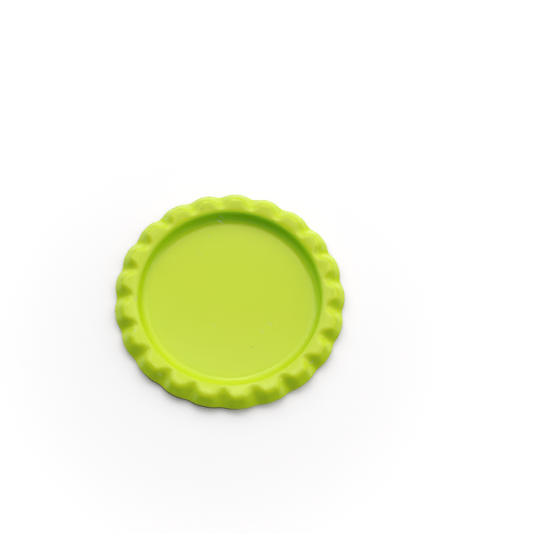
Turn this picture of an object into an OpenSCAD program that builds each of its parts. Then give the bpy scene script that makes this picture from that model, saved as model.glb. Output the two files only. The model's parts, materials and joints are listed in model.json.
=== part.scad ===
// Flattened bottle cap: a crown cap whose fluted skirt has been pressed out into a flange.
// One stamped sheet, lying open side up on its flat panel. Millimetres, +Z up.

/* [Sheet] */
// Thickness of the painted sheet
sheet_t = 0.24; // [0.2:0.01:0.28]

/* [Panel and wall] */
// Inner diameter of the upright wall round the recess
recess_d = 25.6; // [16:0.1:40]
// Height from the underside of the panel to the top of the rim
cap_h = 2.2; // [2.05:0.05:3]
// Radius of the corner between floor and wall, on the open side
corner_r = 1.35; // [0.9:0.05:1.4]
// Radius of the fold at the top of the wall, on the open side
fold_r = 0.35; // [0.3:0.01:0.45]

/* [Flange] */
// Width of the flange, from the wall to the cut edge
flange_w = 3.2; // [2.7:0.05:5]
// Width of the flat land between the fold and the shoulder
land_w = 1.15; // [0.6:0.05:1.3]
// Radius of the shoulder where the flange turns down
shoulder_r = 0.8; // [0.5:0.05:1]
// Height of the cut edge between flutes, on the open side
edge_h = 1.08; // [0.9:0.02:1.3]
// Lean of the cut edge from upright, in degrees
edge_lean = 22; // [0:1:30]

/* [Flutes] */
// Number of flutes round the flange
flute_count = 21; // [15:1:24]
// Distance from the fold to the point where a flute starts
flute_start = 0.15; // [0.1:0.05:0.6]
// Height of the cut edge at the bottom of a flute, on the open side
flute_h = 0.64; // [0.5:0.02:0.8]
// Rise of a flute's flanks, square to the valley line, in degrees
flank_rise = 27.8; // [24:0.2:34]
// Radius along a flute's valley, on the open side
root_r = 0.15; // [0.1:0.05:0.4]

/* [Hidden] */
$fn = 128;

// Straight steps in a quarter turn of a rounded corner
ARC_STEPS = 9;
// Steps across the rounding of a valley
ROOT_STEPS = 4;
// Reach of the cutting bodies beyond the sheet
SPARE = 1;

// Centres of the three bends in [r, height]; the corner is no larger than the wall is high
corner = min(corner_r, cap_h - sheet_t - fold_r);
corner_centre = [recess_d / 2 - corner, sheet_t + corner];
fold_centre = [recess_d / 2 + fold_r, cap_h - fold_r];
shoulder_centre = [fold_centre.x + land_w, cap_h - shoulder_r];

// Cut edge between flutes, and the fall of the straight flange that runs from the shoulder to it
edge = [recess_d / 2 + flange_w, edge_h];
to_edge = edge - shoulder_centre;
flange_fall = asin(shoulder_r / norm(to_edge)) - atan2(to_edge.y, to_edge.x);

// Both ends of a flute's valley line, and its fall
flute_top = [fold_centre.x + flute_start, cap_h];
flute_end = [edge.x - (edge_h - flute_h) * tan(edge_lean), flute_h];
flute_line = flute_end - flute_top;
flute_fall = -atan2(flute_line.y, flute_line.x);

// Points of an arc about [r, z], from one angle to another
function arc(centre, radius, from, to, steps) = [
    for (i = [0 : steps])
        let (a = from + (to - from) * i / steps)
        centre + radius * [cos(a), sin(a)]
];

// Radial section of the sheet between two flutes, at a depth below its open side:
// floor, corner, wall, fold, land and shoulder
function section(depth) = concat(
    [[0, sheet_t - depth]],
    arc(corner_centre, corner + depth, -90, 0, ARC_STEPS),
    arc(fold_centre, fold_r - depth, 180, 90, ARC_STEPS),
    arc(shoulder_centre, shoulder_r - depth, 90, 90 - flange_fall, ARC_STEPS)
);

// Section square to a flute's valley line: a rounded V that opens towards -X
function vee(depth) =
    let (
        centre = [-root_r / cos(flank_rise), 0],
        root = arc(centre, root_r + depth, -flank_rise, flank_rise, ROOT_STEPS),
        top = cap_h + SPARE,
        flank = top * [-sin(flank_rise), cos(flank_rise)] / sin(flank_rise)
    )
    concat([root[0] + [flank.x, -flank.y]], root, [root[ROOT_STEPS] + flank]);

// The V-shaped space of every flute, at a depth below the open side
module flute_cuts(depth) {
    for (i = [0 : flute_count - 1])
        rotate([0, 0, i * 360 / flute_count])
            translate([flute_top.x, 0, flute_top.y])
                rotate([0, 90 + flute_fall, 0])
                    translate([0, 0, -SPARE])
                        linear_extrude(norm(flute_line) + 2 * SPARE)
                            polygon(vee(depth));
}

// Everything under the open side, out to the cut edge
module open_side() {
    foot = -SPARE;
    difference() {
        rotate_extrude()
            polygon(concat(
                section(0),
                [edge, [edge.x - (edge.y - foot) * tan(edge_lean), foot], [0, foot]]
            ));
        flute_cuts(0);
    }
}

// Everything under the panel side, out past the cut edge
module panel_side() {
    foot = -2 * SPARE;
    past_edge = edge - sheet_t * [sin(flange_fall), cos(flange_fall)] + SPARE * [1, -tan(flange_fall)];
    difference() {
        rotate_extrude()
            polygon(concat(section(sheet_t), [past_edge, [past_edge.x, foot], [0, foot]]));
        flute_cuts(sheet_t);
    }
}

// The cap: the sheet that is left between its two sides
module cap() {
    color("yellowgreen")
        difference() {
            open_side();
            panel_side();
        }
}

cap();
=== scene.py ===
"""Looks of a flattened bottle cap: one stamped sheet of enamelled tinplate, lying open side up.

The cap's skirt has been pressed out into a fluted flange round a shallow recess. The sheet is
meshed from its section and its flutes, in metres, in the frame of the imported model.
"""

import json
import logging
import math
from dataclasses import dataclass, field
from enum import Enum

import bpy
import numpy as np
from mathutils import Matrix, Vector


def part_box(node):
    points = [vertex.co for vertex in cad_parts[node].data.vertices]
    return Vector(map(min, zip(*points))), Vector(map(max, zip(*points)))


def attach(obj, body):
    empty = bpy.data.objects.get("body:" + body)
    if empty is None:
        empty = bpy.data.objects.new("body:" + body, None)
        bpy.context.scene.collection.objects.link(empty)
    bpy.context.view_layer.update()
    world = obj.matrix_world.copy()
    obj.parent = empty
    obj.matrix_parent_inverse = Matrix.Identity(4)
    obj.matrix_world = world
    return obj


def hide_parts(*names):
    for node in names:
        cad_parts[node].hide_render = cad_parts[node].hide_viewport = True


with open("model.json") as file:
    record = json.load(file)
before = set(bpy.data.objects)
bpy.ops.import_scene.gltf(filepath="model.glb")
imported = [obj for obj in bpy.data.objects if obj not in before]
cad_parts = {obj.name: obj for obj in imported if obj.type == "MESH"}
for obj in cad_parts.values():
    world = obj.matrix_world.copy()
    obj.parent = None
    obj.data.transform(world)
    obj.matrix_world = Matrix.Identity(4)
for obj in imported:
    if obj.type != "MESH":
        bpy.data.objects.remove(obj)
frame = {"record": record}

log = logging.getLogger("cap")

MM = 0.001
WHITE = (1.0, 1.0, 1.0, 1.0)
EDGE_PASSES = 12  # how often the search for the cut edge is repeated
TINY = 1e-6  # keeps a level surface from being divided by 0


# ---------------------------------------------------------------- shader maths


class Term:
    """A shader socket that takes part in ordinary arithmetic.

    Each operator adds one Math node to the tree the socket is in.
    """

    def __init__(self, graph: "Graph", socket: bpy.types.NodeSocket) -> None:
        """Wraps one output socket.

        Args:
            graph: The graph that the socket belongs to.
            socket: The output socket.
        """
        self.graph = graph
        self.socket = socket

    def _math(self, operation: str, *values: "Term | float") -> "Term":
        """Adds a Math node and returns its result."""
        inputs = dict(enumerate(values))
        return self.graph.node("ShaderNodeMath", {"operation": operation}, inputs)

    def __add__(self, other: "Term | float") -> "Term":
        """Returns self + other."""
        return self._math("ADD", self, other)

    def __sub__(self, other: "Term | float") -> "Term":
        """Returns self - other."""
        return self._math("SUBTRACT", self, other)

    def __mul__(self, other: "Term | float") -> "Term":
        """Returns self * other."""
        return self._math("MULTIPLY", self, other)

    def __rsub__(self, other: float) -> "Term":
        """Returns other - self."""
        return self._math("SUBTRACT", other, self)

    __radd__ = __add__

    def ramp(self, low: float, high: float) -> "Term":
        """Returns a smooth step of self.

        Args:
            low: The value at which the step is 0.
            high: The value at which the step is 1; it may be below low.

        Returns:
            A term from 0 to 1.
        """
        settings = {"interpolation_type": "SMOOTHSTEP"}
        inputs = {0: self, 1: min(low, high), 2: max(low, high)}
        step = self.graph.node("ShaderNodeMapRange", settings, inputs)
        return step if low <= high else 1 - step

    def largest(self, other: "Term | float") -> "Term":
        """Returns the larger of self and other."""
        return self._math("MAXIMUM", self, other)


class Graph:
    """The node tree of one material or world."""

    def __init__(self, owner: bpy.types.Material | bpy.types.World) -> None:
        """Empties the owner's tree.

        Args:
            owner: The material or world whose nodes are built.
        """
        owner.use_nodes = True
        self.tree = owner.node_tree
        self.tree.nodes.clear()

    def node(
        self,
        kind: str,
        settings: dict[str, object],
        inputs: dict[str | int, object],
        output: str | int | None = 0,
    ) -> Term | None:
        """Adds a node.

        Args:
            kind: The node's type.
            settings: Properties, which are set first.
            inputs: Values or terms by socket name or number.
            output: The output that is returned, or None for a node that has none.

        Returns:
            The chosen output.
        """
        made = self.tree.nodes.new(kind)
        for name, value in settings.items():
            setattr(made, name, value)
        for key, value in inputs.items():
            socket = made.inputs[key]
            if isinstance(value, Term):
                self.tree.links.new(value.socket, socket)
            else:
                socket.default_value = value
        return None if output is None else Term(self, made.outputs[output])

    def mix(self, amount: Term | float, first: object, second: object) -> Term:
        """Blends two colours.

        Args:
            amount: 0 for the first colour, 1 for the second.
            first: A colour or a colour term.
            second: A colour or a colour term.

        Returns:
            The blended colour.
        """
        settings = {"data_type": "RGBA", "clamp_factor": True}
        return self.node("ShaderNodeMix", settings, {0: amount, 6: first, 7: second}, 2)

    def vector(
        self, operation: str, inputs: dict[str | int, object], output: str | int = 0
    ) -> Term:
        """Adds a Vector Math node.

        Args:
            operation: What it does.
            inputs: Values or terms by socket name or number.
            output: The output that is returned.

        Returns:
            The chosen output.
        """
        return self.node("ShaderNodeVectorMath", {"operation": operation}, inputs, output)

    def noise(self, place: Term, scale: float, detail: float, rough: float = 0.5) -> Term:
        """Adds a noise texture.

        Args:
            place: The coordinates.
            scale: Waves per metre.
            detail: Octaves.
            rough: Strength of the finer octaves.

        Returns:
            The noise's value, about 0.5 in the middle.
        """
        inputs = {"Vector": place, "Scale": scale, "Detail": detail, "Roughness": rough}
        return self.node("ShaderNodeTexNoise", {}, inputs)

    def bump(self, height: Term, strength: float, distance: float) -> Term:
        """Adds a bump node.

        Args:
            height: Height of the surface, from 0 to 1.
            strength: How strongly it shows.
            distance: Height that 1 stands for.

        Returns:
            The bent normal.
        """
        inputs = {"Height": height, "Strength": strength, "Distance": distance}
        return self.node("ShaderNodeBump", {}, inputs)

    def output(self, surface: Term, kind: str = "ShaderNodeOutputMaterial") -> None:
        """Connects the finished shader to the output."""
        self.node(kind, {}, {"Surface": surface}, None)


def linear(red: int, green: int, blue: int) -> tuple[float, float, float, float]:
    """Turns a display colour into a linear one.

    Args:
        red: Display value from 0 to 255.
        green: The same for green.
        blue: The same for blue.

    Returns:
        The opaque linear colour.
    """

    def channel(value: int) -> float:
        """Returns one linear channel, by the sRGB curve."""
        part = value / 255
        return part / 12.92 if part <= 0.04045 else ((part + 0.055) / 1.055) ** 2.4

    return (channel(red), channel(green), channel(blue), 1.0)


# ------------------------------------------------------------------- finishes


class Blemish(Enum):
    """What a small mark on the enamel is."""

    # pale specks of dust; the same pale colour also paints a highlight on the recess wall
    DUST_AND_GLINT = "dust_and_glint"
    SCUFF = "scuff"
    CHIP = "chip"


@dataclass(frozen=True)
class Mark:
    """One small mark on the enamel.

    Attributes:
        kind: What it is.
        radius_mm: Distance from the cap's axis.
        azimuth: Direction from the axis, in degrees.
        length_mm: Length of the mark.
        width_mm: Width of the mark.
        turn: Direction that the mark runs in, in degrees.
        cover: How much of the enamel it covers up.
        fray: How far noise frays the outline, in half widths.
        outline: Distances from the middle, in half widths, where the cover begins and is full.
    """

    kind: Blemish
    radius_mm: float
    azimuth: float
    length_mm: float = 0.65
    width_mm: float = 0.14
    turn: float = -27.0
    cover: float = 0.5
    fray: float = 1.2
    outline: tuple[float, float] = (1.15, 0.6)

    def mask(self, graph: Graph, place: Term, ragged: Term) -> Term:
        """Returns the mark's mask.

        Args:
            graph: The material's graph.
            place: Object coordinates.
            ragged: Fine noise that breaks the outline.

        Returns:
            How much of the enamel the mark covers at each point.
        """
        turn = math.radians(self.azimuth)
        r = self.radius_mm * MM
        inputs = {
            "Vector": place,
            "Location": (r * math.cos(turn), r * math.sin(turn), 0.0),
            "Rotation": (0.0, 0.0, math.radians(self.turn)),
            "Scale": (self.length_mm * MM / 2, self.width_mm * MM / 2, 1.0),
        }
        local = graph.node("ShaderNodeMapping", {"vector_type": "TEXTURE"}, inputs)
        away = graph.vector("LENGTH", {0: local}, "Value")
        return (away + (ragged - 0.5) * self.fray).ramp(*self.outline) * self.cover


@dataclass(frozen=True)
class Enamel:
    """Glossy lime enamel on tinplate, bare at the cut edge.

    Attributes:
        body: Colour of the enamel.
        ripe: Colour where it is very slightly yellower.
        painted_shade_colour: Colour of the painted shade, a darker green laid on steep slopes where
            shade falls.
        metal: Colour of the bare cut edge.
        tarnish: Colour of the browned part of the edge.
        dust_and_glint: Colour of the pale specks of dust and of a painted highlight on the recess
            wall.
        scuff: Colour of the dull grey rubs.
        chip: Colour where the film is nicked.
        drift_waves: Waves per metre of the slow drift in colour and film.
        ripe_at: Values of the drift between which body turns into ripe.
        painted_shade_share: Share of the painted shade's colour where the painted shade is full and
            the drift
        is 0, and what the drift adds.
        tarnish_at: Bareness between which metal turns into tarnish.
        open_at: Upward parts of the normal between which marks begin; the lower side has none.
        metallic: How metallic the bare edge is.
        roughness: Roughness of the enamel, what a bare edge adds and what the grain adds.
        grain_waves: Waves per metre of the grain.
        coat: Weight, roughness and refractive index of the gloss.
        dulling: Share of the gloss that a mark takes away.
        peel_waves: Waves per metre of the orange peel.
        peel_rough: Strength of the orange peel's finer octaves.
        peel: Strength and height of the orange peel.
        marks: The small marks; the first two are a painted highlight on the recess wall.
    """

    body: tuple[float, ...] = (0.63, 0.795, 0.005, 1.0)
    ripe: tuple[float, ...] = (0.645, 0.79, 0.005, 1.0)
    # painted shade: a darker green for steep slopes where shade falls
    painted_shade_colour: tuple[float, ...] = (0.13, 0.75, 0.002, 1.0)
    metal: tuple[float, ...] = linear(150, 140, 130)
    tarnish: tuple[float, ...] = linear(96, 68, 56)
    dust_and_glint: tuple[float, ...] = linear(226, 232, 190)
    scuff: tuple[float, ...] = linear(196, 200, 158)
    chip: tuple[float, ...] = linear(168, 140, 70)
    drift_waves: float = 90.0
    ripe_at: tuple[float, float] = (0.3, 0.75)
    painted_shade_share: tuple[float, float] = (0.85, 0.3)
    tarnish_at: tuple[float, float] = (0.5, 0.8)
    open_at: tuple[float, float] = (-0.2, 0.0)
    metallic: float = 0.3
    roughness: tuple[float, float, float] = (0.34, 0.2, 0.06)
    grain_waves: float = 6000.0
    coat: tuple[float, float, float] = (0.95, 0.14, 1.5)
    dulling: float = 0.6
    peel_waves: float = 900.0
    peel_rough: float = 0.4
    peel: tuple[float, float] = (0.03, 0.02 * MM)
    marks: tuple[Mark, ...] = (
        # painted highlight: the next two marks are a pale streak where light glints on the recess
        # wall
        Mark(Blemish.DUST_AND_GLINT, 12.03, 104.6, 1.0, 0.24, -8.0, 0.45),
        Mark(Blemish.DUST_AND_GLINT, 12.5, 103.6, 0.7, 0.16, -8.0, 0.3),
        Mark(Blemish.DUST_AND_GLINT, 8.16, 129.3, cover=0.25),
        Mark(Blemish.DUST_AND_GLINT, 10.07, 115.1, 0.5, cover=0.3),
        Mark(Blemish.DUST_AND_GLINT, 4.36, -112.9, cover=0.2),
        Mark(Blemish.DUST_AND_GLINT, 6.61, -25.1, 0.7, 0.16, cover=0.45),
        Mark(Blemish.DUST_AND_GLINT, 6.40, -38.5, cover=0.3),
        Mark(Blemish.CHIP, 7.59, -58.8, 0.8, 0.15, cover=0.3),
        Mark(Blemish.CHIP, 13.85, 114.6, 0.5, 0.28, 60.0, 0.35),
        Mark(Blemish.SCUFF, 12.99, -170.1, 0.6, 0.22, 80.0, 0.6),
        Mark(Blemish.SCUFF, 13.96, -150.5, 0.5, 0.3, 20.0),
        Mark(Blemish.DUST_AND_GLINT, 14.79, -122.0, 0.6, 0.15, -20.0),
        Mark(Blemish.DUST_AND_GLINT, 14.66, -32.8, 0.5, 0.2, 40.0),
        Mark(Blemish.SCUFF, 15.29, 91.4, 0.7, 0.35, 10.0),
    )

    def painted(self, graph: Graph, place: Term) -> Term:
        """Colours the clean enamel and lays painted shade on it.

        Args:
            graph: The material's graph.
            place: Object coordinates.

        Returns:
            The colour, darker and greener where painted shade is laid on.
        """
        # the film attribute carries painted shade: where it is high, a darker green stands in for
        # shade
        painted_shade = graph.node("ShaderNodeAttribute", {"attribute_name": "painted_shade"}, {}, "Fac")
        drift = graph.noise(place, self.drift_waves, 3.0)
        colour = graph.mix(drift.ramp(*self.ripe_at), self.body, self.ripe)
        still, drifting = self.painted_shade_share
        return graph.mix(painted_shade * (still + drift * drifting), colour, self.painted_shade_colour)

    def marked(self, graph: Graph, place: Term, grain: Term, colour: Term) -> tuple[Term, Term]:
        """Lays the small marks and a painted highlight over the enamel of the open side.

        Args:
            graph: The material's graph.
            place: Object coordinates.
            grain: Fine noise that frays the marks.
            colour: The clean enamel's colour.

        Returns:
            The marked colour, and how much of the enamel the marks cover.
        """
        normal = graph.node("ShaderNodeNewGeometry", {}, {}, "Normal")
        upward = graph.node("ShaderNodeSeparateXYZ", {}, {0: normal}, "Z")
        open_side = upward.ramp(*self.open_at)
        pigment = {Blemish.DUST_AND_GLINT: self.dust_and_glint, Blemish.SCUFF: self.scuff, Blemish.CHIP: self.chip}
        cover: Term | float = 0.0
        for mark in self.marks:
            mask = mark.mask(graph, place, grain) * open_side
            colour = graph.mix(mask, colour, pigment[mark.kind])
            cover = mask + cover
        return colour, cover

    def material(self) -> bpy.types.Material:
        """Returns the finished material."""
        material = bpy.data.materials.new("lime_enamel")
        graph = Graph(material)
        place = graph.node("ShaderNodeTexCoord", {}, {}, "Object")
        bare = graph.node("ShaderNodeAttribute", {"attribute_name": "bare"}, {}, "Fac")
        grain = graph.noise(place, self.grain_waves, 2.0)
        peel = graph.noise(place, self.peel_waves, 2.0, self.peel_rough)
        colour, cover = self.marked(graph, place, grain, self.painted(graph, place))
        edge = graph.mix(bare.ramp(*self.tarnish_at), self.metal, self.tarnish)
        smooth, worn, grainy = self.roughness
        weight, blur, index = self.coat
        inputs = {
            "Base Color": graph.mix(bare, colour, edge),
            "Metallic": bare * self.metallic,
            "Roughness": smooth + bare * worn + (grain - 0.5) * grainy,
            "Specular IOR Level": 0.0,
            "Coat Weight": (1 - bare) * (1 - cover * self.dulling) * weight,
            "Coat Roughness": blur,
            "Coat IOR": index,
            "Normal": graph.bump(peel, *self.peel),
        }
        graph.output(graph.node("ShaderNodeBsdfPrincipled", {}, inputs))
        return material


@dataclass(frozen=True)
class Sweep:
    """Pale seamless paper under the cap.

    Attributes:
        paper: Colour of the paper.
        lift: White that the camera and reflections see added to it: by the cap, round it, far off.
        reach: Distances from the cap's axis between which the first turns into the second.
        horizon: The same for the second and the third.
        tooth_waves: Waves per metre of the paper's tooth.
        tooth: Strength and height of the tooth.
        roughness: Roughness of the paper.
        specular: Specular level of the paper.
    """

    paper: tuple[float, ...] = linear(249, 247, 249)
    lift: tuple[float, float, float] = (0.18, 0.32, 1.0)
    reach: tuple[float, float] = (20 * MM, 50 * MM)
    horizon: tuple[float, float] = (80 * MM, 400 * MM)
    tooth_waves: float = 3000.0
    tooth: tuple[float, float] = (0.05, 0.02 * MM)
    roughness: float = 0.7
    specular: float = 0.2

    def material(self) -> bpy.types.Material:
        """Returns the finished material."""
        material = bpy.data.materials.new("sweep_paper")
        graph = Graph(material)
        place = graph.node("ShaderNodeTexCoord", {}, {}, "Object")
        tooth = graph.noise(place, self.tooth_waves, 3.0)
        camera, gloss, clear = (
            graph.node("ShaderNodeLightPath", {}, {}, name)
            for name in ("Is Camera Ray", "Is Glossy Ray", "Is Transmission Ray")
        )
        seen = camera.largest(gloss).largest(clear)
        away = graph.vector("LENGTH", {0: place}, "Value")
        near, middle, far = self.lift
        lift = away.ramp(*self.reach) * (middle - near) + away.ramp(*self.horizon) * (far - middle)
        inputs = {
            "Base Color": self.paper,
            "Roughness": self.roughness,
            "Specular IOR Level": self.specular,
            "Emission Color": graph.vector("SCALE", {0: WHITE[:3], "Scale": seen * (lift + near)}),
            "Emission Strength": 1.0,
            "Normal": graph.bump(tooth, *self.tooth),
        }
        graph.output(graph.node("ShaderNodeBsdfPrincipled", {}, inputs))
        return material


# ------------------------------------------------------------------------ cap


@dataclass(frozen=True)
class Arc:
    """One arc of the crest's section, convex on the open side.

    Attributes:
        centre_r: Distance of the centre from the axis.
        centre_z: Height of the centre.
        radius: Radius of the arc.
    """

    centre_r: float
    centre_z: float
    radius: float

    def at(self, tilt: float) -> tuple[float, float]:
        """Returns the point where the surface tilts inward by an angle in radians."""
        return (
            self.centre_r - self.radius * math.sin(tilt),
            self.centre_z + self.radius * math.cos(tilt),
        )

    def next(self, tilt: float, radius: float) -> "Arc":
        """Returns the arc that carries on from this one at a tilt, with another radius."""
        r, z = self.at(tilt)
        return Arc(r + radius * math.sin(tilt), z - radius * math.cos(tilt), radius)

    def moved(self, shift: float) -> "Arc":
        """Returns the arc moved out from the axis."""
        return Arc(self.centre_r + shift, self.centre_z, self.radius)

    def fall_to(self, r: float, z: float) -> float:
        """Returns the outward tilt, in radians, of the straight slope from the arc to a point."""
        run, drop = r - self.centre_r, z - self.centre_z
        return math.asin(self.radius / math.hypot(run, drop)) - math.atan2(drop, run)

    def height(self, r: np.ndarray) -> np.ndarray:
        """Returns the arc's height over each distance from the axis."""
        return self.centre_z + np.sqrt(np.maximum(self.radius**2 - (r - self.centre_r) ** 2, 0.0))


@dataclass
class FlutedCap:
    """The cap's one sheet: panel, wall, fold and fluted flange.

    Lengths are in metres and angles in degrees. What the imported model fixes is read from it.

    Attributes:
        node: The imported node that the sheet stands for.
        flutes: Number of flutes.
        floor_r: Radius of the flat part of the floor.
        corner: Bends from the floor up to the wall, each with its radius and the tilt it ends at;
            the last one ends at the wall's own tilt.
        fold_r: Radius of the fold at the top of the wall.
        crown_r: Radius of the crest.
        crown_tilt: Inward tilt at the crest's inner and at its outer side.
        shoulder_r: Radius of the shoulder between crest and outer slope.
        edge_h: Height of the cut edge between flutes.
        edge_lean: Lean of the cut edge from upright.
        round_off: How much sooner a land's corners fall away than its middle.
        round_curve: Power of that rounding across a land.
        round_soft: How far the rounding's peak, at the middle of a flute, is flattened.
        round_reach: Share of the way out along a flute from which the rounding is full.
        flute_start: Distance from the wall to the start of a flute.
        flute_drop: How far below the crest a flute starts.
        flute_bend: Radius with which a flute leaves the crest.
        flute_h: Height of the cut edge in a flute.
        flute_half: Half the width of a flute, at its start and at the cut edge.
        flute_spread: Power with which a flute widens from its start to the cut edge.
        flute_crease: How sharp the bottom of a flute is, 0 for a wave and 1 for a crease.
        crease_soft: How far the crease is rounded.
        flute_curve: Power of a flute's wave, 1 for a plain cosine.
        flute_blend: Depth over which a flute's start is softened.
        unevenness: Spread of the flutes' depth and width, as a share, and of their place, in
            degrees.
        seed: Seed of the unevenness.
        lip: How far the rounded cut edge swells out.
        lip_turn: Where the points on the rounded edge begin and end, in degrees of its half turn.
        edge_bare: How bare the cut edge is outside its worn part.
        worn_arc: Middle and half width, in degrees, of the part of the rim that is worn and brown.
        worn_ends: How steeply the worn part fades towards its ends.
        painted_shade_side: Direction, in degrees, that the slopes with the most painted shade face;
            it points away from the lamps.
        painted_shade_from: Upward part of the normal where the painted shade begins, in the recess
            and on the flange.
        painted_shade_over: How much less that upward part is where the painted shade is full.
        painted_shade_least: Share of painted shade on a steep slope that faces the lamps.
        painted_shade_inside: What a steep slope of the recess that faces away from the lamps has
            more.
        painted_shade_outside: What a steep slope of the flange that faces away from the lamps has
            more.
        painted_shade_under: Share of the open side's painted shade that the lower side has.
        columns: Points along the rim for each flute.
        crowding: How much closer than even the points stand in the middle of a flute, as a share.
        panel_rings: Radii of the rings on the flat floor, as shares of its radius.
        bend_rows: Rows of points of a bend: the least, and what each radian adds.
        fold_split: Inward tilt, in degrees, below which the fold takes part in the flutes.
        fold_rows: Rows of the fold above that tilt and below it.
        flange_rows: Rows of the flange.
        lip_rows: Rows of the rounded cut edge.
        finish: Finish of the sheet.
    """

    node: str = "cap"
    flutes: int = 21
    floor_r: float = 10.73 * MM
    corner: tuple[tuple[float, float], ...] = (
        (14.0 * MM, 2.5),
        (1.3 * MM, 29.4),
        (3.0 * MM, 34.0),
        (1.08 * MM, 90.0),
    )
    fold_r: float = 0.59 * MM
    crown_r: float = 6.9 * MM
    crown_tilt: tuple[float, float] = (19.0, 8.1)
    shoulder_r: float = 1.1 * MM
    edge_h: float = 1.04 * MM
    edge_lean: float = 39.0
    round_off: float = 0.01 * MM
    round_curve: float = 1.7
    round_soft: float = 0.02
    round_reach: float = 0.5
    flute_start: float = 0.165 * MM
    flute_drop: float = 0.24 * MM
    flute_bend: float = 2.6 * MM
    flute_h: float = 0.67 * MM
    flute_half: tuple[float, float] = (0.75 * MM, 2.06 * MM)
    flute_spread: float = 0.73
    flute_crease: float = 0.08
    crease_soft: float = 0.003
    flute_curve: float = 1.1
    flute_blend: float = 0.05 * MM
    unevenness: tuple[float, float] = (0.06, 0.7)
    seed: int = 21
    lip: float = 0.05 * MM
    lip_turn: tuple[float, float] = (20.0, 160.0)
    edge_bare: float = 0.5
    worn_arc: tuple[float, float] = (255.0, 30.0)
    worn_ends: float = 3.0
    # painted shade: a darker green on steep slopes that face away from the lamps
    painted_shade_side: float = 258.0
    painted_shade_from: tuple[float, float] = (0.99, 0.95)
    painted_shade_over: float = 0.4
    painted_shade_least: float = 0.03
    painted_shade_inside: float = 0.62
    painted_shade_outside: float = 0.24
    painted_shade_under: float = 0.4
    columns: int = 24
    crowding: float = 0.55
    panel_rings: tuple[float, ...] = (0.25, 0.6, 0.9)
    bend_rows: tuple[int, int] = (2, 18)
    fold_split: float = 55.0
    fold_rows: tuple[int, int] = (7, 10)
    flange_rows: int = 40
    lip_rows: int = 7
    finish: Enamel = field(default_factory=Enamel)

    def __post_init__(self) -> None:
        """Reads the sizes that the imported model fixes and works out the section."""
        low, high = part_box(self.node)
        mounts = {mount["name"]: mount for mount in frame["record"]["mounts"]}
        self.height = high[2]
        self.edge_r = -low[0]
        self.sheet = mounts["recess_floor"]["pos_m"][2]
        self.wall_r = mounts["recess_wall"]["dims"]["r_mm"] * MM
        self.lean = math.tan(math.radians(self.edge_lean))
        self.pitch = 2 * math.pi / self.flutes
        self.bend_floor()
        self.bend_crest()
        self.bend_flute()
        self.vary()

    def bend_floor(self) -> None:
        """Works out the bends from the flat floor up into the wall."""
        r, z, before = self.floor_r, self.sheet, 0.0
        self.bends = []
        for radius, degrees in self.corner:
            mid_r, mid_z = r - radius * math.sin(before), z + radius * math.cos(before)
            after = math.radians(degrees)
            self.bends.append([(mid_r, mid_z), radius, before, after])
            r, z = mid_r + radius * math.sin(after), mid_z - radius * math.cos(after)
            before = after

    def bend_crest(self) -> None:
        """Works out fold, crown, shoulder and outer slope, and lets the fold meet the last bend."""
        inner, outer = (math.radians(tilt) for tilt in self.crown_tilt)
        shoulder = Arc(0.0, self.height - self.shoulder_r, self.shoulder_r)
        crown = shoulder.next(outer, self.crown_r)
        fold = crown.next(inner, self.fold_r)
        (mid_r, mid_z), corner_r = self.bends[-1][:2]
        reach = corner_r + self.fold_r
        self.steepest = math.acos((mid_z - fold.centre_z) / reach)
        self.bends[-1][3] = self.steepest
        shift = mid_r + reach * math.sin(self.steepest) - fold.centre_r
        self.fold, self.crown, self.shoulder = (arc.moved(shift) for arc in (fold, crown, shoulder))
        self.crown_from = self.fold.at(inner)[0]
        self.crown_to = self.crown.at(outer)[0]
        self.fall = self.shoulder.fall_to(self.edge_r, self.edge_h)
        self.slope_from = self.shoulder.at(-self.fall)

    def bend_flute(self) -> None:
        """Works out the section along the bottom of a flute."""
        end_r = self.edge_r - (self.edge_h - self.flute_h) * self.lean
        self.flute_z = self.height - self.flute_drop
        start_r = self.wall_r + self.flute_start
        self.flute = Arc(start_r, self.flute_z - self.flute_bend, self.flute_bend)
        self.flute_fall = self.flute.fall_to(end_r, self.flute_h)
        self.flute_from = self.flute.at(-self.flute_fall)

    def vary(self) -> None:
        """Draws how much each flute differs in depth, width and place."""
        spread = np.random.default_rng(self.seed).uniform(-1, 1, (3, self.flutes))
        self.depths = 1 + self.unevenness[0] * spread[0]
        self.widths = 1 + self.unevenness[0] * spread[1]
        self.places = math.radians(self.unevenness[1]) * spread[2]

    def land(self, r: np.ndarray) -> np.ndarray:
        """Returns the height of the flange between flutes.

        Args:
            r: Distances from the axis.

        Returns:
            Heights of the open side.
        """
        slope_r, slope_z = self.slope_from
        return np.select(
            [r < self.crown_from, r < self.crown_to, r < slope_r],
            [self.fold.height(r), self.crown.height(r), self.shoulder.height(r)],
            slope_z - (r - slope_r) * math.tan(self.fall),
        )

    def valley(self, r: np.ndarray) -> np.ndarray:
        """Returns the height along the bottom of a flute.

        Args:
            r: Distances from the axis.

        Returns:
            Heights of the open side.
        """
        start_r, start_z = self.flute_from
        return np.select(
            [r < self.flute.centre_r, r < start_r],
            [self.flute_z + 0 * r, self.flute.height(r)],
            start_z - (r - start_r) * math.tan(self.flute_fall),
        )

    def notch(self, across: np.ndarray) -> np.ndarray:
        """Returns the cross section of a flute.

        Args:
            across: Distances from its middle, in half widths, up to 1.

        Returns:
            Depths, 1 in the middle and 0 at the sides.
        """
        wave = 0.5 + 0.5 * np.cos(math.pi * across)
        from_crease = np.sqrt(across**2 + self.crease_soft) / math.sqrt(1 + self.crease_soft)
        crease = 1.0 - np.sin(0.5 * math.pi * from_crease)
        return (wave + (crease - wave) * self.flute_crease) ** self.flute_curve

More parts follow.
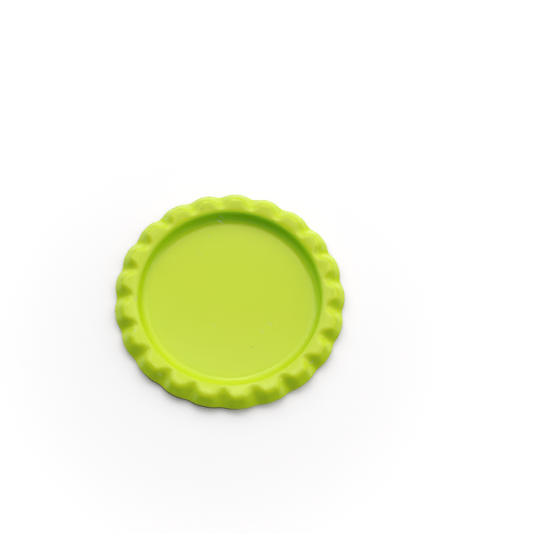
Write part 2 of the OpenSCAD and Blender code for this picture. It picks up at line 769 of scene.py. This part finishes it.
    def flange(self, r: np.ndarray, angle: np.ndarray) -> np.ndarray:
        """Returns the height of the fluted flange.

        Args:
            r: Distances from the axis.
            angle: Directions from the axis, in radians.

        Returns:
            Heights of the open side.
        """
        number = np.floor(angle / self.pitch + 0.5).astype(int)
        turn = angle - number * self.pitch
        number = number % self.flutes
        out = (r - self.flute.centre_r) / (self.edge_r - self.flute.centre_r)
        out = np.clip(out, 0.0, 1.0)
        near, far = self.flute_half
        half = (near + (far - near) * out**self.flute_spread) * self.widths[number]
        beside = r * np.abs(turn - self.places[number])
        notch = self.depths[number] * self.notch(np.minimum(beside / half, 1.0))

        side = np.sqrt((2 * turn / self.pitch) ** 2 + self.round_soft)
        rounding = np.maximum(1.0 - side, 0.0) ** self.round_curve
        pull = self.round_off * rounding * np.minimum(out / self.round_reach, 1.0)
        land = self.land(r + pull)
        gap = land - self.valley(r)
        soft = self.flute_blend
        depth = 0.5 * (gap + np.sqrt(gap**2 + soft**2))
        depth = depth - 0.5 * soft * np.exp(-((gap / soft) ** 2))
        return land - np.maximum(depth, 0.0) * notch

    def edge_radius(self, angle: np.ndarray) -> np.ndarray:
        """Finds the cut edge, which leans in where a flute lowers it.

        Args:
            angle: Directions from the axis, in radians.

        Returns:
            Distances of the edge from the axis.
        """
        r = np.full_like(angle, self.edge_r)
        for _ in range(EDGE_PASSES):
            r = self.edge_r + (self.flange(r, angle) - self.edge_h) * self.lean
        return r

    def open_side(self) -> np.ndarray:
        """Returns the open side's points.

        Returns:
            Points of shape (rows, columns, 3), in rows from the floor out to the cut edge.
        """
        steps = np.arange(self.columns) / self.columns
        steps = steps - self.crowding / (2 * math.pi) * np.sin(2 * math.pi * steps)
        angle = ((np.arange(self.flutes)[:, None] + steps[None, :]) * self.pitch).ravel()
        rows = []

        def ring(r: float | np.ndarray, z: float | np.ndarray) -> None:
            """Adds one row of points round the axis."""
            rows.append(np.stack([r * np.cos(angle), r * np.sin(angle), z + 0 * angle], -1))

        for share in self.panel_rings:
            ring(self.floor_r * share, self.sheet)
        least, more = self.bend_rows
        for (mid_r, mid_z), radius, before, after in self.bends:
            count = least + round((after - before) * more)
            for tilt in np.linspace(before, after, count + 1)[:-1]:
                ring(mid_r + radius * math.sin(tilt), mid_z - radius * math.cos(tilt))
        split = math.radians(self.fold_split)
        plain, fluted = self.fold_rows
        for tilt in np.linspace(self.steepest, split, plain + 1)[:-1]:
            ring(*self.fold.at(tilt))
        for tilt in np.linspace(split, 0, fluted + 1)[:-1]:
            r = self.fold.at(tilt)[0]
            ring(r, self.flange(np.full_like(angle, r), angle))
        edge = self.edge_radius(angle)
        inner = self.fold.centre_r
        for share in np.linspace(0, 1, self.flange_rows):
            r = inner + (edge - inner) * share
            ring(r, self.flange(r, angle))
        return np.array(rows)

    def normals(self, points: np.ndarray) -> np.ndarray:
        """Returns the normals of a grid of points that closes round its columns.

        Args:
            points: Points of shape (rows, columns, 3).

        Returns:
            Unit normals of the same shape.
        """
        outward = np.gradient(points, axis=0)
        sideways = np.roll(points, -1, axis=1) - np.roll(points, 1, axis=1)
        cross = np.cross(outward, sideways)
        return cross / np.linalg.norm(cross, axis=2, keepdims=True)

    def wear(self, edge: np.ndarray) -> np.ndarray:
        """Returns how worn the cut edge is.

        Args:
            edge: Points along the edge.

        Returns:
            A value for each point: 1 inside the worn arc, fading to 0 at its ends, and 0 outside.
        """
        turn = np.arctan2(edge[:, 1], edge[:, 0])
        middle, half = (math.radians(part) for part in self.worn_arc)
        aside = np.abs((turn - middle + math.pi) % (2 * math.pi) - math.pi)
        return np.clip(self.worn_ends * (1 - aside / half), 0.0, 1.0)

    def painted_shade(self, top: np.ndarray, up: np.ndarray) -> np.ndarray:
        """Returns the painted shade at each point, most on steep slopes facing away from the lamps.

        Args:
            top: The open side's points.
            up: Unit normals there.

        Returns:
            A value from 0 to 1 for each point.
        """
        inside = top[..., 0] ** 2 + top[..., 1] ** 2 < self.fold.centre_r**2
        steep = (np.where(inside, *self.painted_shade_from) - up[..., 2]) / self.painted_shade_over
        steep = np.clip(steep, 0.0, 1.0)
        steep = steep * (2 - steep)
        # slopes that face painted_shade_side, away from the lamps, get more painted shade
        shade_way = math.radians(self.painted_shade_side)
        facing = up[..., 0] * math.cos(shade_way) + up[..., 1] * math.sin(shade_way)
        level = np.maximum(np.hypot(up[..., 0], up[..., 1]), TINY)
        facing = 0.5 + 0.5 * facing / level
        shaded = np.where(inside, self.painted_shade_inside, self.painted_shade_outside) * facing**2
        return steep * (self.painted_shade_least + shaded)

    def lower_side(self, top: np.ndarray, up: np.ndarray) -> np.ndarray:
        """Returns the lower side's points, one under each point of the open side.

        Args:
            top: The open side's points.
            up: Unit normals there.

        Returns:
            Points a sheet's thickness inward; the last row is straight below the cut edge.
        """
        under = top - up * self.sheet
        under[-1] = top[-1] - np.array([0.0, 0.0, self.sheet]) / up[-1, :, 2:]
        return under

    def lip_points(self, upper: np.ndarray, lower: np.ndarray) -> np.ndarray:
        """Returns the points that round the cut edge.

        Args:
            upper: The open side's last row.
            lower: The lower side's last row.

        Returns:
            Rows of points from the upper row down to the lower one.
        """
        outward = upper * np.array([1.0, 1.0, 0.0]) / self.edge_r
        rows = []
        for turn in np.radians(np.linspace(*self.lip_turn, self.lip_rows)):
            share = 0.5 - 0.5 * math.cos(turn)
            swell = outward * self.lip * math.sin(turn)
            rows.append(upper * (1 - share) + lower * share + swell)
        return np.array(rows)

    def faces(self, count: int, around: int) -> list[tuple[int, ...]]:
        """Joins the rows, and closes both ends round a middle point.

        Args:
            count: Number of rows.
            around: Points in a row.

        Returns:
            The faces, by point numbers; the middle points come after the rows.
        """
        faces = []
        for first in range(0, (count - 1) * around, around):
            for j in range(around):
                k = (j + 1) % around
                second = first + around
                faces.append((first + j, second + j, second + k, first + k))
        last = (count - 1) * around
        floor_middle, lower_middle = count * around, count * around + 1
        for j in range(around):
            k = (j + 1) % around
            faces.append((floor_middle, j, k))
            faces.append((lower_middle, last + k, last + j))
        return faces

    def mesh(self) -> bpy.types.Mesh:
        """Returns the closed mesh of the sheet, which carries how bare it is and its painted shade.
        """
        top = self.open_side()
        up = self.normals(top)
        under = self.lower_side(top, up)
        lip = self.lip_points(top[-1], under[-1])
        rows = np.concatenate([top, lip, under[::-1]])
        count, around = rows.shape[:2]
        points = [tuple(point) for point in rows.reshape(-1, 3)]
        points += [(0.0, 0.0, self.sheet), (0.0, 0.0, 0.0)]
        mesh = bpy.data.meshes.new("cap_sheet")
        mesh.from_pydata(points, [], self.faces(count, around))

        wear = self.wear(top[-1])
        bare = np.zeros((count, around))
        bare[len(top) - 1] = wear
        bare[len(top) : len(top) + len(lip)] = self.edge_bare + (1 - self.edge_bare) * wear
        # painted shade on the open side, and a share of it on the lower side
        run = self.painted_shade(top, up)
        painted_shade = np.concatenate([run, np.zeros((len(lip), around)), self.painted_shade_under * run[::-1]])
        for name, values in (("bare", bare), ("painted_shade", painted_shade)):
            values = np.concatenate([values.ravel(), np.zeros(2)])
            mesh.attributes.new(name, "FLOAT", "POINT").data.foreach_set("value", values)
        mesh.shade_smooth()
        mesh.validate()
        return mesh

    def build(self) -> bpy.types.Object:
        """Builds the sheet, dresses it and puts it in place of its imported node."""
        piece = bpy.data.objects.new("cap_sheet", self.mesh())
        bpy.context.scene.collection.objects.link(piece)
        piece.data.materials.append(self.finish.material())
        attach(piece, "root")
        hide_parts(self.node)
        counts = len(piece.data.vertices), len(piece.data.polygons)
        log.info("%s: %d points, %d faces", piece.name, *counts)
        return piece


# --------------------------------------------------------------------- studio


@dataclass(frozen=True)
class Softbox:
    """One soft rectangular lamp aimed at the cap.

    Attributes:
        name: The lamp's name.
        azimuth: Direction it stands in, in degrees from +X.
        elevation: Height above the floor, in degrees.
        width: Width as the cap sees it, in degrees.
        height: Height as the cap sees it, in degrees.
        brightness: Brightness of its face, where 1 is white.
        mirrored: Whether glossy surfaces reflect it.
        distance: Distance from the cap, in metres.
    """

    name: str
    azimuth: float
    elevation: float
    width: float
    height: float
    brightness: float
    mirrored: bool = True
    distance: float = 0.6

    def build(self) -> None:
        """Adds the lamp to the scene."""
        data = bpy.data.lights.new(self.name, "AREA")
        data.shape = "RECTANGLE"
        data.size = 2 * self.distance * math.tan(math.radians(self.width / 2))
        data.size_y = 2 * self.distance * math.tan(math.radians(self.height / 2))
        data.energy = self.brightness * math.pi * data.size * data.size_y
        lamp = bpy.data.objects.new(self.name, data)
        bpy.context.scene.collection.objects.link(lamp)
        a, e = math.radians(self.azimuth), math.radians(self.elevation)
        way = Vector((math.cos(a) * math.cos(e), math.sin(a) * math.cos(e), math.sin(e)))
        lamp.location = way * self.distance
        lamp.rotation_mode = "QUATERNION"
        lamp.rotation_quaternion = way.to_track_quat("Z", "Y")
        lamp.visible_glossy = self.mirrored
        log.info("lamp %s", self.name)


@dataclass(frozen=True)
class Viewpoint:
    """Where the camera stands.

    Attributes:
        aim_mm: Point on the recess floor that it looks at.
        azimuth: Direction it looks in, 0 along +Y, in degrees.
        elevation: Height above the floor, in degrees.
        distance_mm: Distance from the aim.
        roll: Turn about its own axis, in degrees.
        lens: Focal length for a sensor 36 mm wide.
        clip: Nearest and farthest distance that it sees, in metres.
    """

    aim_mm: tuple[float, float] = (4.44, 5.72)
    azimuth: float = 1.6
    elevation: float = 67.2
    distance_mm: float = 163.4
    roll: float = 5.9
    lens: float = 77.8
    clip: tuple[float, float] = (0.01, 10.0)

    def build(self, floor_z: float) -> None:
        """Adds the camera and makes it the scene's own.

        Args:
            floor_z: Height of the recess floor.
        """
        data = bpy.data.cameras.new("camera")
        data.lens = self.lens
        data.clip_start, data.clip_end = self.clip
        camera = bpy.data.objects.new("camera", data)
        bpy.context.scene.collection.objects.link(camera)
        a, e = math.radians(self.azimuth), math.radians(self.elevation)
        back = Vector((math.sin(a) * math.cos(e), -math.cos(a) * math.cos(e), math.sin(e)))
        aim = Vector((self.aim_mm[0] * MM, self.aim_mm[1] * MM, floor_z))
        place = Matrix.Translation(aim + back * self.distance_mm * MM)
        turn = back.to_track_quat("Z", "Y").to_matrix().to_4x4()
        camera.matrix_world = place @ turn @ Matrix.Rotation(math.radians(self.roll), 4, "Z")
        bpy.context.scene.camera = camera


@dataclass
class Studio:
    """Floor, lamps, surroundings and camera.

    Attributes:
        floor_half: Half the floor's width, in metres.
        surround: Brightness of the surroundings.
        sweep: The floor's paper.
        lamps: The soft lamps.
        viewpoint: Where the camera stands.
    """

    floor_half: float = 1.5
    surround: float = 0.18
    sweep: Sweep = field(default_factory=Sweep)
    lamps: tuple[Softbox, ...] = (
        Softbox("back_left", 130.0, 44.0, 52.0, 42.0, 1.6),
        Softbox("back_middle", 78.0, 45.0, 40.0, 40.0, 1.4),
        Softbox("back_right", 24.0, 42.0, 44.0, 40.0, 1.06),
        Softbox("high_left", 140.0, 70.0, 18.0, 16.0, 0.78),
        Softbox("high_middle", 98.0, 68.0, 14.0, 14.0, 1.07),
        Softbox("high_right", 40.0, 69.0, 24.0, 16.0, 1.1),
        Softbox("low_left", 145.0, 16.0, 36.0, 18.0, 0.61),
        Softbox("low_middle", 84.0, 15.0, 70.0, 20.0, 0.5),
        Softbox("low_right", 14.0, 14.0, 56.0, 20.0, 1.4, False),
        Softbox("edge_left", 177.0, 10.0, 22.0, 14.0, 0.45),
        Softbox("top", 90.0, 84.0, 24.0, 24.0, 1.12),
    )
    viewpoint: Viewpoint = field(default_factory=Viewpoint)

    def floor(self) -> None:
        """Adds the floor that the cap lies on."""
        half = self.floor_half
        ends = ((-half, -half), (half, -half), (half, half), (-half, half))
        corners = [(x, y, 0.0) for x, y in ends]
        mesh = bpy.data.meshes.new("floor")
        mesh.from_pydata(corners, [], [(0, 1, 2, 3)])
        floor = bpy.data.objects.new("floor", mesh)
        bpy.context.scene.collection.objects.link(floor)
        mesh.materials.append(self.sweep.material())

    def surroundings(self) -> None:
        """Lights the scene evenly from all round, and shows the camera plain white there."""
        world = bpy.data.worlds.new("studio")
        bpy.context.scene.world = world
        graph = Graph(world)
        direct = graph.node("ShaderNodeLightPath", {}, {}, "Is Camera Ray")
        dim, plain = (
            graph.node("ShaderNodeBackground", {}, {"Color": WHITE, "Strength": strength})
            for strength in (self.surround, 1.0)
        )
        sky = graph.node("ShaderNodeMixShader", {}, {0: direct, 1: dim, 2: plain})
        graph.output(sky, "ShaderNodeOutputWorld")

    def build(self, floor_z: float) -> None:
        """Builds the whole studio.

        Args:
            floor_z: Height of the recess floor, which the camera looks at.
        """
        bpy.context.scene.view_settings.view_transform = "Standard"
        self.viewpoint.build(floor_z)
        self.floor()
        self.surroundings()
        for lamp in self.lamps:
            lamp.build()


def main() -> None:
    """Builds the studio and the cap."""
    logging.basicConfig(level=logging.INFO, format="%(message)s")
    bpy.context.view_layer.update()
    cap = FlutedCap()
    Studio().build(cap.sheet)
    cap.build()


if __name__ == "__main__":
    main()
